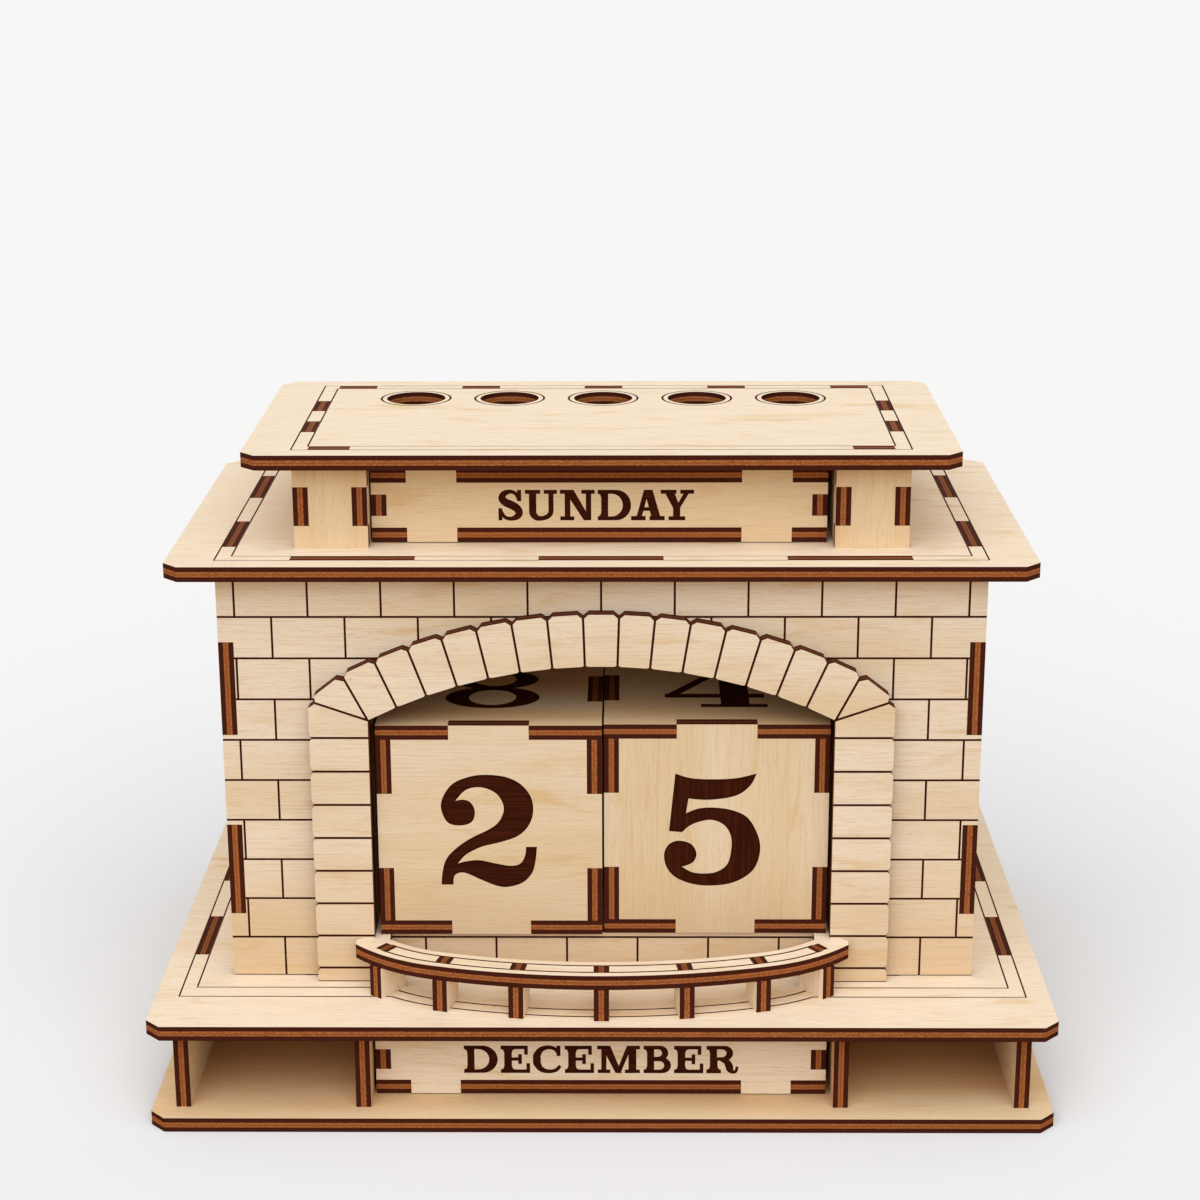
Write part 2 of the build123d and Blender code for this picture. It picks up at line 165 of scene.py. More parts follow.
cameraData = bpy.data.cameras.new("camera")
cameraData.lens = view["lens"]
cameraData.sensor_width = view["sensor"]
cameraData.clip_start = view["near"]
cameraData.clip_end = view["far"]
camera = newPiece("camera", cameraData)
turn = aimed(-view["aside"], view["down"]) @ Matrix.Rotation(radians(view["tilt"]), 4, "Z")
camera.matrix_world = Matrix.Translation(Vector(view["place"]) * mm) @ turn
bpy.context.scene.camera = camera

# angles in degrees, the floor in metres
studio = {"sky": 0.47, "skyColour": (1.0, 0.95, 0.88, 1.0), "backdrop": paint(246, 246, 246),
          "keyPower": 2.36, "keyHeight": 53, "keyAside": -4, "keySoftness": 80,
          # the near colour of the floor is painted shadow: the floor as the camera sees it is painted darker
          # close to the object, and the fade gives where that ends, in metres
          "floor": paint(240, 242, 245), "floorShadowNear": paint(235, 238, 243), "floorGlow": paint(180, 162, 144),
          "floorRadius": 9.0, "floorSides": 64, "floorShadowFade": (0.1, 0.32)}
softbox = bpy.data.lights.new("softbox", "SUN")
softbox.energy = studio["keyPower"]
softbox.angle = radians(studio["keySoftness"])
newPiece("softbox", softbox).matrix_world = aimed(studio["keyAside"], studio["keyHeight"])

world = bpy.data.worlds.new("studio")
world.use_nodes = True
world.node_tree.nodes.clear()
air = Net(world.node_tree)
rays = air.add("ShaderNodeLightPath")
seen = rays.math("MAXIMUM", rays.pick("Is Camera Ray"),
                 rays.math("MAXIMUM", rays.pick("Is Glossy Ray"), rays.pick("Is Transmission Ray")))
light = air.add("ShaderNodeBackground", None, {"Color": studio["skyColour"], "Strength": studio["sky"]})
wall = air.add("ShaderNodeBackground", None, {"Color": studio["backdrop"], "Strength": 1.0})
shown = air.add("ShaderNodeMixShader", None, {0: seen, 1: light, 2: wall})
air.add("ShaderNodeOutputWorld", None, {"Surface": shown})
bpy.context.scene.world = world
bpy.context.scene.view_settings.view_transform = "Standard"


def newMaterial(name):
    material = bpy.data.materials.new(name)
    material.use_nodes = True
    material.node_tree.nodes.clear()
    return material, Net(material.node_tree)


def makeFloor():
    shape = bmesh.new()
    bmesh.ops.create_circle(shape, cap_ends=True, segments=studio["floorSides"], radius=studio["floorRadius"])
    floor = pieceFrom(shape, "floor")
    material, net = newMaterial("paleFloor")
    looked = net.add("ShaderNodeLightPath").pick("Is Camera Ray")
    away = net.vector("LENGTH", net.add("ShaderNodeTexCoord").pick("Object"))
    # painted shadow: the floor seen by the camera is darker near the object
    pale = net.blend(net.ease(away, *studio["floorShadowFade"]), studio["floorShadowNear"], studio["floor"])
    colour = net.blend(looked, studio["floorGlow"], pale)
    surface = net.add("ShaderNodeBsdfDiffuse", None, {"Color": colour})
    net.add("ShaderNodeOutputMaterial", None, {"Surface": surface})
    floor.data.materials.append(material)


makeFloor()
print("camera, light and floor are set")


# sizes are in mm, those of a cut edge from the middle of the sheet. warmth shifts the wood from pale to
# toast: the board's own tone, and on some boards painted shade
plyLook = {"paleWood": paint(243, 227, 205), "warmWood": paint(232, 208, 172), "toast": paint(222, 182, 132),
           "warmthAndShade": 0.45, "warmFrom": 0.5, "toastFrom": 1.0, "warming": (0.3, 0.75),
           # laid over the wood by a pattern: colour, where it sets in, where it is full, and how strong it is
           "amber": (paint(222, 184, 124), 0.55, 0.78, 0.65),
           "grainLine": (paint(212, 180, 138), 0.44, 0.74, 0.5),
           "fleck": (paint(190, 150, 104), 0.55, 0.75, 0.34),
           "lowShadeColour": paint(204, 166, 118), "lowShadeReach": (24.0, 56.0),    # painted shade, darker toward the bottom: its colour, the height where it is darkest, and where it ends
           "cubbyShadeColour": paint(186, 130, 76), "cubbyShadeStrength": 0.75,    # painted shade: the cubbies' floor is painted browner inside, where shade falls
           "cubbySide": 83.0, "cubbyMouth": (-59.0, -34.0), "cubbyEnd": (40.0, 54.0),
           "skinAt": 1.47,    # just under the faces, and less is a cut edge or carving
           "faceOn": 0.7, "slopeOn": 0.3, "upOn": 0.6,    # how squarely a facet has to face its way
           "core": paint(188, 116, 66), "coreShade": paint(128, 70, 36), "coreHalf": 0.53, "coreBlur": 0.06,
           "coreWobble": 0.05, "speckled": (0.36, 0.66),
           "glueAside": 0.05, "glueLine": (0.04, 0.17), "glueTone": 0.7,    # a thin dark line in the core
           "topSoot": 0.42,    # how much soot lies over the core of edges that face up
           "burnt": paint(68, 29, 18), "burntBrown": paint(94, 46, 30),
           "charred": (0.5, 0.8), "charTone": 0.5,
           "scorched": paint(82, 40, 17), "scorchAt": 1.42,    # the upper flanks of a groove
           "carved": paint(54, 18, 6), "carvedLight": paint(78, 34, 16), "carvedStreak": (0.4, 0.75),
           "rough": 0.62, "roughStreak": 0.2, "roughCut": 0.08, "specular": 0.04,
           "relief": 0.35, "reliefDepth": 0.06 * mm, "seedStep": (7.31, 13.7, 3.9)}

# patterns of the wood: how finely each varies per mm along the grain, across it and through the board, then
# its detail, its roughness and how far it is warped
plyPatterns = {"plank": ((0.011, 0.075, 0.02), 2.0), "streak": ((0.09, 3.4, 0.1), 3.0, 0.66),
               "figure": ((0.045, 0.2, 0.02), 3.0, 0.55, 0.8), "dash": ((0.5, 5.2, 0.3), 2.0, 0.6),
               "speckle": ((3.2, 3.2, 5.0), 3.0, 0.75), "ripple": ((0.5, 0.5, 0.5), 2.0)}


# three-ply as the laser leaves it: pale birch faces with fine grain, edges burnt dark over a brown core, and
# carving in burnt brown. lay adds the nodes that say where a point is in its own board: along the grain,
# across it and away from the mid plane, in mm, and how squarely it faces the board's thickness
def plyFinish(name, lay, seed, warmthAndShade=plyLook["warmthAndShade"], lowShade=0.0, sootAndShade=plyLook["topSoot"],
              paintCubbyShade=False):
    look = plyLook
    material, net = newMaterial(name)
    places = net.add("ShaderNodeTexCoord")
    spot = places.pick("Object")
    along, aside, deep, squareness = lay(net, spot, places.pick("Normal"))
    board = net.combine(along, aside, deep)
    facing = squareness > look["faceOn"]
    slope = squareness > look["slopeOn"]
    skin = facing * (abs(deep) > look["skinAt"])
    shift = tuple(seed * step for step in look["seedStep"])
    plank, streak, figure, dash, speckle, ripple = (net.noise(board, shift, *given)
                                                    for given in plyPatterns.values())

    # birch face
    # the warmth is the board's own tone, and on the boards inside the cubbies and firebox also painted shade
    toneAndShade = plank + warmthAndShade
    wood = net.blend(net.ease(toneAndShade - look["warmFrom"], *look["warming"]), look["paleWood"], look["warmWood"])
    wood = net.blend(net.ease(toneAndShade - look["toastFrom"], *look["warming"]), wood, look["toast"])
    for pattern, layer in ((figure, "amber"), (streak, "grainLine"), (dash, "fleck")):
        tint, low, high, strength = look[layer]
        wood = net.blend(net.ease(pattern, low, high) * strength, wood, tint)
    # painted shade: the board is painted darker toward its bottom, where less light reaches
    if lowShade:
        unshaded = net.ease(net.reach(spot, (0, 0, 1)), *look["lowShadeReach"])
        wood = net.blend((1 - unshaded) * lowShade, wood, look["lowShadeColour"])
    # painted shade: the cubbies' floor is painted browner inside, where shade falls
    if paintCubbyShade:
        x, y = net.reach(spot, (1, 0, 0)), net.reach(spot, (0, 1, 0))
        inside = (abs(x) < look["cubbySide"]) * net.ease(y, *look["cubbyMouth"])
        inside = inside * (1 - net.ease(y, *look["cubbyEnd"]))
        wood = net.blend(inside * look["cubbyShadeStrength"], wood, look["cubbyShadeColour"])

    # cut edge: dark outer plies over a speckled core with a thin dark line in it
    level = deep + (ripple - 0.5) * look["coreWobble"] * 2
    half, blur = look["coreHalf"], look["coreBlur"]
    inCore = 1 - net.ease(abs(level), half - blur, half + blur)
    line = 1 - net.ease(abs(level + look["glueAside"]), *look["glueLine"])
    core = net.blend(net.ease(speckle, *look["speckled"]), look["core"], look["coreShade"])
    core = net.blend(line * look["glueTone"], core, look["coreShade"])
    # soot darkens the core of edges that face up; the extra on the cube fronts is painted shade under the
    # arch
    upward = net.vector("DOT_PRODUCT", places.pick("Normal"), (0.0, 0.0, 1.0)) > look["upOn"]
    core = net.blend(upward * sootAndShade, core, look["burnt"])
    char = net.ease(speckle, *look["charred"]) * look["charTone"]
    char = net.blend(char, look["burnt"], look["burntBrown"])
    edge = net.blend(inCore, char, core)

    # carving: burnt brown on the bottom of a cut, and a scorched rim
    carving = net.blend(net.ease(streak, *look["carvedStreak"]), look["carved"], look["carvedLight"])
    under = net.blend(facing, edge, carving)
    under = net.blend(slope * (abs(deep) > look["scorchAt"]), under, look["scorched"])
    colour = net.blend(skin, under, wood)
    rough = look["rough"] + (streak - 0.5) * look["roughStreak"] + (1 - skin) * look["roughCut"]
    relief = net.add("ShaderNodeBump", None, {"Strength": look["relief"], "Distance": look["reliefDepth"],
                                              "Height": streak + speckle * (1 - skin)})
    surface = net.add("ShaderNodeBsdfPrincipled", None,
                      {"Base Color": colour, "Roughness": rough, "Normal": relief,
                       "Specular IOR Level": look["specular"]})
    net.add("ShaderNodeOutputMaterial", None, {"Surface": surface})
    return material


axes = [Vector((1, 0, 0)), Vector((0, 1, 0)), Vector((0, 0, 1))]


# the lay of a straight board: its thickness axis, its mid plane along that axis, and its grain
def straightLay(normal, middle, grain):
    def lay(net, spot, facing):
        along, aside, deep = (net.vector("DOT_PRODUCT", spot, tuple(axis / mm))
                              for axis in (grain, normal.cross(grain), normal))
        return along, aside, deep - middle, abs(net.vector("DOT_PRODUCT", facing, tuple(normal)))
    return lay


# which way a board is thin, and where its mid plane is
def boardPlane(node):
    low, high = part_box(node)
    size = high - low
    thin = min(range(3), key=lambda axis: size[axis])
    return thin, (low[thin] + high[thin]) / 2 / mm


# boards whose grain runs otherwise than along X, or front to back where they face the sides
grainOf = {"small_front_left": 2, "small_front_right": 2, "right_cube_front": 2}
# how warm the wood of a board is: its own tone, and on the boards inside the cubbies and the firebox, and
# partly on the cube tops, painted shade
warmthAndShadeOf = {"weekday_block_front": 0.8, "month_block_front": 0.32, "small_front_left": 0.86,
            "small_front_right": 0.9, "front_panel": 0.44, "arch_trim": 0.43, "pen_plate": 0.16,
            "mantel_plate": 0.14, "hearth_plate": 0.28, "bottom_plate": 0.92, "fire_back": 1.3,
            "left_cube_front": 0.6, "right_cube_front": 0.62}
for side in ("left", "right"):
    warmthAndShadeOf |= {f"{side}_cube_top": 1.0, f"cubby_back_{side}": 1.3, f"fire_cheek_{side}": 1.3,
                 f"inner_upright_{side}": 1.1, f"outer_upright_{side}": 0.6}
# how much soot lies over the core of a board's upward edges, where the extra on the cube fronts is painted
# shade under the arch; and how strongly a board is painted darker toward its bottom, which is painted shade
sootAndShadeOf = {"arch_trim": 0.8, "left_cube_front": 0.8, "right_cube_front": 0.8}
lowShadeOf = {"front_panel": 0.5, "arch_trim": 0.5, "left_cube_front": 0.5, "right_cube_front": 0.5}


def boardFinish(node, name=None, shift=(0, 0, 0)):
    thin, middle = boardPlane(node)
    along = grainOf.get(node, 1 if thin == 0 else 0)
    seed = 1 + sorted(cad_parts).index(node) + shift[1]
    lay = straightLay(axes[thin], middle + shift[thin], axes[along])
    return plyFinish(name or f"birch.{node}", lay, seed, warmthAndShadeOf.get(node, plyLook["warmthAndShade"]),
                     lowShadeOf.get(node, 0.0), sootAndShadeOf.get(node, plyLook["topSoot"]), node == "bottom_plate")


for node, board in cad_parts.items():
    board.data.materials.clear()
    board.data.materials.append(boardFinish(node))
print("boards have their finish")


# a copy of a packed board with its loose triangles joined up
def mergedBoard(node, name, shift=(0, 0, 0)):
    shape = bmesh.new()
    shape.from_mesh(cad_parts[node].data)
    bmesh.ops.remove_doubles(shape, verts=shape.verts[:], dist=weldReach)
    shape.verts.index_update()
    points = [corner.co + Vector(shift) * mm for corner in shape.verts]
    mesh = bpy.data.meshes.new(name)
    mesh.from_pydata(points, [], [[corner.index for corner in face.verts] for face in shape.faces])
    shape.free()
    mesh.materials.append(boardFinish(node, f"ply.{name}", shift))
    return newPiece(name, mesh)


# a geometry tree with named inputs. builder gets its net and the inputs' wires, and returns the last geometry
def geometryTree(name, inputs, builder):
    kinds = {int: "NodeSocketInt", float: "NodeSocketFloat", bpy.types.Material: "NodeSocketMaterial",
             bpy.types.Object: "NodeSocketObject"}
    tree = bpy.data.node_groups.new(name, "GeometryNodeTree")
    tree.interface.new_socket("Geometry", in_out="INPUT", socket_type="NodeSocketGeometry")
    for label, value in inputs.items():
        tree.interface.new_socket(label, in_out="INPUT", socket_type=kinds[type(value)])
    tree.interface.new_socket("Geometry", in_out="OUTPUT", socket_type="NodeSocketGeometry")
    net = Net(tree)
    start = net.add("NodeGroupInput")
    given = {label: start.pick(label) for label in ["Geometry", *inputs]}
    net.add("NodeGroupOutput", None, {0: builder(net, given)})
    return tree


# leaves a piece as the plain mesh that its modifiers make
def settle(piece):
    bpy.context.view_layer.update()
    made = piece.evaluated_get(bpy.context.evaluated_depsgraph_get())
    mesh = bpy.data.meshes.new_from_object(made)
    mesh.name = piece.name
    piece.modifiers.clear()
    piece.data = mesh


def runTree(piece, name, inputs, builder):
    tree = geometryTree(name, inputs, builder)
    modifier = piece.modifiers.new(name, "NODES")
    modifier.node_group = tree
    for item in tree.interface.items_tree:
        if item.in_out == "INPUT" and item.name in inputs:
            modifier[item.identifier] = inputs[item.name]
    settle(piece)


def finished(piece, body, *nodes):
    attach(piece, body)
    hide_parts(*nodes)


def cutAway(net, board, cutter):
    return net.add("GeometryNodeMeshBoolean", {"operation": "DIFFERENCE", "solver": "MANIFOLD"},
                   {0: board, 1: cutter})


def realized(net, geometry):
    return net.add("GeometryNodeRealizeInstances", None, {0: geometry})


def painted(net, geometry, material):
    values = {"Geometry": realized(net, geometry), "Material": material}
    return net.add("GeometryNodeSetMaterial", None, values)


def bar(net, width, depth, height):
    return net.add("GeometryNodeMeshCube", None, {"Size": net.combine(width, depth, height)})


def onPoints(net, points, thing, rotation=(0.0, 0.0, 0.0)):
    values = {"Points": points, "Instance": thing, "Rotation": rotation}
    return realized(net, net.add("GeometryNodeInstanceOnPoints", None, values))


# prisms are cut out of a board, and the walls that they leave take the board's burnt finish
def prismCuts(net, given):
    prisms = net.add("GeometryNodeObjectInfo", None, {"Object": given["Prisms"]}).pick("Geometry")
    return painted(net, cutAway(net, given["Geometry"], prisms), given["Material"])


def carve(piece, prisms):
    runTree(piece, "prismCuts", {"Prisms": prisms, "Material": piece.data.materials[0]}, prismCuts)
    bpy.data.objects.remove(prisms)


# a round rod that cuts a groove: its axis runs outside the face, so that the groove is wider than it is deep
def rod(net, given, length):
    return net.add("GeometryNodeMeshCylinder", None,
                   {"Vertices": given["Sides"], "Radius": given["Radius"], "Depth": length}).pick("Mesh")


# brickwork: bed joints right across, and upright joints that step half a brick from course to course
brickwork = {"Top": 108.5 * mm, "Face": -38.75 * mm, "Reach": 75.6 * mm, "Course": 8.55 * mm,
             "Brick": 14.4 * mm, "Courses": 10, "Bricks": 12, "Radius": 0.25 * mm, "Lift": 0.1 * mm,
             "Sides": 12, "Sill": 32.6 * mm, "Bay": 46 * mm}    # in the bay, the sill has no upright joints


def brickJoints(net, given):
    axis = given["Face"] - given["Lift"]
    beds = net.add("GeometryNodeMeshLine", {"mode": "OFFSET"},
                   {"Count": given["Courses"] + 1, "Start Location": net.combine(0.0, axis, given["Top"]),
                    "Offset": net.combine(0.0, 0.0, given["Course"] * -1)})
    beds = onPoints(net, beds, rod(net, given, given["Reach"] * 2), (0.0, pi / 2, 0.0))
    panel = cutAway(net, given["Geometry"], beds)
    # the points of a grid are counted along its second side first
    grid = net.add("GeometryNodeMeshGrid", None,
                   {"Vertices X": given["Bricks"], "Vertices Y": given["Courses"]})
    number = net.add("GeometryNodeInputIndex")
    course = number % given["Courses"]
    place = (number - course) / given["Courses"]
    x = (place - given["Bricks"] / 2 + (course % 2.0) / 2) * given["Brick"]
    z = given["Top"] - (course + 0.5) * given["Course"]
    joints = net.add("GeometryNodeSetPosition", None,
                     {"Geometry": grid.pick("Mesh"), "Position": net.combine(x, axis, z)})
    inSill = (abs(x) < given["Bay"]) * (abs(z - given["Sill"]) < given["Course"] / 2)
    unused = inSill.math("MAXIMUM", inSill, abs(x) > given["Reach"])
    joints = net.add("GeometryNodeDeleteGeometry", {"domain": "POINT"}, {0: joints, 1: unused})
    panel = cutAway(net, panel, onPoints(net, joints, rod(net, given, given["Course"])))
    return painted(net, panel, given["Material"])


frontPanel = mergedBoard("front_panel", "brick_front")
runTree(frontPanel, "brickJoints", {**brickwork, "Material": frontPanel.data.materials[0]}, brickJoints)
finished(frontPanel, "cabinet", "front_panel")
print("brickwork is carved")

# engraved lines: a round groove along each line of a curve object that lies on the board's face
engraving = {"Radius": 0.265 * mm, "Sides": 12}
engravingLift = 0.1    # mm from the face out to the middle of the round


def grooves(net, given):
    lines = net.add("GeometryNodeObjectInfo", None, {"Object": given["Lines"]}).pick("Geometry")
    tip = net.add("GeometryNodeCurvePrimitiveCircle", None,
                  {"Resolution": given["Sides"], "Radius": given["Radius"]})
    tubes = net.add("GeometryNodeCurveToMesh", None,
                    {"Curve": lines, "Profile Curve": tip, "Fill Caps": True})
    return painted(net, cutAway(net, given["Geometry"], tubes), given["Material"])


# lines are lists of points in mm, each with a mark that says whether it closes
def lineObject(name, lines, out):
    curve = bpy.data.curves.new(name, "CURVE")
    curve.dimensions = "3D"
    for points, closed in lines:
        spline = curve.splines.new("POLY")
        spline.points.add(len(points) - 1)
        for knot, point in zip(spline.points, points):
            knot.co = (*((Vector(point) + Vector(out) * engravingLift) * mm), 1.0)
        spline.use_cyclic_u = closed
    return newPiece(name, curve)


def engraveLines(piece, lines, out=(0, 0, 1)):
    drawn = lineObject("lines", lines, out)
    runTree(piece, "grooves", {**engraving, "Lines": drawn, "Material": piece.data.materials[0]}, grooves)
    bpy.data.objects.remove(drawn)


def engravedBoard(node, name, lines):
    board = mergedBoard(node, name)
    engraveLines(board, lines)
    finished(board, "cabinet", node)


def rectangle(halfWidth, halfDepth, level):
    corners = ((-1, -1), (1, -1), (1, 1), (-1, 1))
    return [(x * halfWidth, y * halfDepth, level) for x, y in corners], True


def ring(x, y, radius, level, steps=48):
    turns = [2 * pi * step / steps for step in range(steps)]
    return [(x + radius * cos(turn), y + radius * sin(turn), level) for turn in turns], True


# pen plate and mantel: a double border that joins up the tab ends, and a ring round each pen hole
borders = {"ply": 3.0, "penWidth": 60.85, "penDepth": 29.975, "penLevel": 131.5,
           "holes": (-40, -20, 0, 20, 40), "holeRow": 17.325, "ringRadius": 7.37,
           "mantelWidth": 75.5, "mantelDepth": 38.75, "mantelLevel": 111.5}


def doubleBorder(halfWidth, halfDepth, level):
    inset = borders["ply"]
    return [rectangle(halfWidth, halfDepth, level), rectangle(halfWidth - inset, halfDepth - inset, level)]


rings = [ring(x, borders["holeRow"], borders["ringRadius"], borders["penLevel"]) for x in borders["holes"]]
penLines = doubleBorder(borders["penWidth"], borders["penDepth"], borders["penLevel"]) + rings
engravedBoard("pen_plate", "pen_holder_top", penLines)
mantelLines = doubleBorder(borders["mantelWidth"], borders["mantelDepth"], borders["mantelLevel"])
engravedBoard("mantel_plate", "mantel_top", mantelLines)

# fender rail: a wide middle arc and two end arcs that meet it in line
fender = {"apex": -56.05, "endRadius": 31.0, "endX": 24.25, "endY": -21.654, "halfPly": 1.5,
          "posts": (16.4, 31.2, 43.3), "railLevel": 32.6, "hearthLevel": 23.0, "sideLine": 85.2,
          "backLine": 57.5, "frontLine": -48.65, "innerFront": -44.45, "steps": 26}
rise = fender["apex"] - fender["endY"]
fender["radius"] = ((fender["endRadius"] ** 2 - fender["endX"] ** 2 - rise ** 2)
                    / (2 * (rise + fender["endRadius"])))
fender["centre"] = fender["apex"] + fender["radius"]
fender["meeting"] = asin(fender["endX"] / (fender["radius"] - fender["endRadius"]))


# points along the rail's line from one side to the other, moved outwards by offset. lastTurn is how far each
# end arc is followed
def railLine(offset, level, lastTurn):
    steps, meeting = fender["steps"], fender["meeting"]
    reach, endReach = fender["radius"] + offset, fender["endRadius"] + offset
    middle = [meeting * step / steps for step in range(steps + 1)]
    ends = [meeting + (lastTurn - meeting) * step / steps for step in range(1, steps + 1)]
    right = [(reach * sin(turn), fender["centre"] - reach * cos(turn)) for turn in middle]
    right += [(fender["endX"] + endReach * sin(turn), fender["endY"] - endReach * cos(turn)) for turn in ends]
    left = [(-x, y) for x, y in reversed(right[1:])]
    return [(x, y, level) for x, y in left + right]


# turn of the end arc at a place beside it, or at a line that crosses it
def endTurnAtX(x):
    return asin((x - fender["endX"]) / fender["endRadius"])


def endTurnAtY(y, offset):
    return pi / 2 - asin((fender["endY"] - y) / (fender["endRadius"] + offset))


lastPost = endTurnAtX(fender["posts"][-1])
railLines = [(railLine(offset, fender["railLevel"], lastPost), False)
             for offset in (-fender["halfPly"], fender["halfPly"])]
engravedBoard("shelf_and_fender", "fender_rail", railLines)

hearthLines = []
for offset, inset, front in ((fender["halfPly"], 0, fender["frontLine"]),
                             (-fender["halfPly"], borders["ply"], fender["innerFront"])):
    level, side, back = fender["hearthLevel"], fender["sideLine"] - inset, fender["backLine"] - inset
    corners = [(side, front, level), (side, back, level), (-side, back, level), (-side, front, level)]
    hearthLines.append(([*corners, *railLine(offset, level, endTurnAtY(front, offset))], True))
engravedBoard("hearth_plate", "hearth_top", hearthLines)
print("borders are engraved")

# stone surround: joints between the arch stones, the two sloping beds and the courses of the pillars
stones = {"face": -41.75, "bay": 46.15, "pillar": 57.85, "spring": 79.5, "rise": 11.2, "stoneLength": 10.6,
          "count": 15, "slope": 19.3, "pillarTop": 75.8, "course": 7.1, "courses": 8, "foot": 23.0,
          "past": 0.6, "bedTuck": 0.2}
stones["radius"] = (stones["bay"] ** 2 + stones["rise"] ** 2) / (2 * stones["rise"])
stones["centre"] = stones["spring"] + stones["rise"] - stones["radius"]
stones["angle"] = 2 * asin(stones["bay"] / stones["radius"]) / stones["count"]
stones["levels"] = [stones["pillarTop"] - course * stones["course"] for course in range(stones["courses"])]


def archSpot(reach, turn):
    return reach * sin(turn), stones["centre"] + reach * cos(turn)


def stoneJoints():
    data = stones
    inner, outer = data["radius"], data["radius"] + data["stoneLength"] + data["past"]
    lines, beds = [], []
    for joint in range(1, data["count"]):
        turn = (joint - data["count"] / 2) * data["angle"]
        lines.append([archSpot(inner - data["past"], turn), archSpot(outer, turn)])
    for side in (-1, 1):
        lastTurn = side * data["angle"] * data["count"] / 2
        lines.append([archSpot(inner, lastTurn), archSpot(outer, lastTurn)])
        bedEnd = data["pillar"] + data["past"]
        rise = tan(radians(data["slope"]))
        beds.append([(side * (data["bay"] - data["bedTuck"]), data["spring"] - data["bedTuck"] * rise),
                     (side * bedEnd, data["spring"] + (bedEnd - data["bay"]) * rise)])
        for level in [*data["levels"], data["foot"]]:
            lines.append([(side * (data["bay"] - data["past"]), level), (side * bedEnd, level)])
    return [[([(x, data["face"], z) for x, z in line], False) for line in group] for group in (lines, beds)]


# corners that are cut off where a joint comes out: size along the edge, and turns of the cut, edge to inside
nicks = {"crown": (1.15, (0.0, 1.4)), "soffit": (0.7, (0.0, 0.45, 0.9, 1.3)),
         "pillar": (1.15, (0.0, 0.45, 0.9, 1.3)), "outside": 0.5, "front": -42.4, "back": -38.0}


def nickOutline(spot, outward, kind):
    size, turns = nicks[kind]
    spot, outward = Vector(spot), Vector(outward)
    along = Vector((-outward.y, outward.x))
    halves = []
    for side in (1, -1):
        edge = spot + along * (side * size)
        cut = [edge + outward * (size * (cos(turn) - 1)) - along * (side * size * sin(turn))
               for turn in turns]
        halves.append([edge + outward * nicks["outside"], *cut])
    return halves[0] + halves[1][::-1]


def stoneNicks():
    data = stones
    far = (data["radius"] + data["stoneLength"]) / cos(data["angle"] / 2)
    outlines = []
    for joint in range(data["count"] + 1):
        turn = (joint - data["count"] / 2) * data["angle"]
        outlines.append(nickOutline(archSpot(far, turn), (sin(turn), cos(turn)), "crown"))
        if 0 < joint < data["count"]:
            outlines.append(nickOutline(archSpot(data["radius"], turn), (-sin(turn), -cos(turn)), "soffit"))
    for side in (-1, 1):
        for level in data["levels"]:
            outlines.append(nickOutline((side * data["pillar"], level), (side, 0), "pillar"))
    shape = bmesh.new()
    for outline in outlines:
        front, back = ([shape.verts.new(Vector((spot.x, nicks[end], spot.y)) * mm) for spot in outline]
                       for end in ("front", "back"))
        shape.faces.new(front)
        shape.faces.new(back[::-1])
        for place in range(len(outline)):
            shape.faces.new([front[place - 1], back[place - 1], back[place], front[place]])
    bmesh.ops.recalc_face_normals(shape, faces=shape.faces[:])
    return pieceFrom(shape, "nicks")


surround = mergedBoard("arch_trim", "stone_surround")
carve(surround, stoneNicks())
for group in stoneJoints():
    engraveLines(surround, group, (0, -1, 0))
finished(surround, "cabinet", "arch_trim")
print("stone surround is carved")

# fender posts: one board each, stood across the rail's line and turned with it
posts = {"Thickness": 3.0 * mm, "Depth": 7.0 * mm, "Height": 6.6 * mm, "Tab": 3.0 * mm, "Foot": 20.0 * mm}
postSeed = 61


def postPlaces():
    places = [(0.0, fender["apex"], 0.0)]
    for x in fender["posts"]:
        if x <= fender["radius"] * sin(fender["meeting"]):
            turn = asin(x / fender["radius"])
            y = fender["centre"] - fender["radius"] * cos(turn)
        else:
            turn = endTurnAtX(x)
            y = fender["endY"] - fender["endRadius"] * cos(turn)
        places += [(x, y, turn), (-x, y, -turn)]
    return places


def postRow(net, given):
    turn = net.add("GeometryNodeInputNamedAttribute", {"data_type": "FLOAT"}, {"Name": "postTurn"})
    place = net.add("GeometryNodeInputPosition")
    kept = net.add("GeometryNodeStoreNamedAttribute", {"data_type": "FLOAT_VECTOR", "domain": "POINT"},
                   {"Geometry": given["Geometry"], "Name": "postPlace", "Value": place})
    body = bar(net, given["Thickness"], given["Depth"], given["Height"])
    tenon = bar(net, given["Thickness"], given["Tab"], given["Height"] + given["Thickness"] * 2)
    post = net.add("GeometryNodeMeshBoolean", {"operation": "UNION", "solver": "MANIFOLD"},
                   {1: [body, tenon]})
    lift = net.combine(0.0, 0.0, given["Foot"] + given["Thickness"] + given["Height"] / 2)
    post = net.add("GeometryNodeTransform", None, {"Geometry": post, "Translation": lift})
    row = onPoints(net, kept, post, net.combine(0.0, 0.0, turn))
    return painted(net, row, given["Material"])


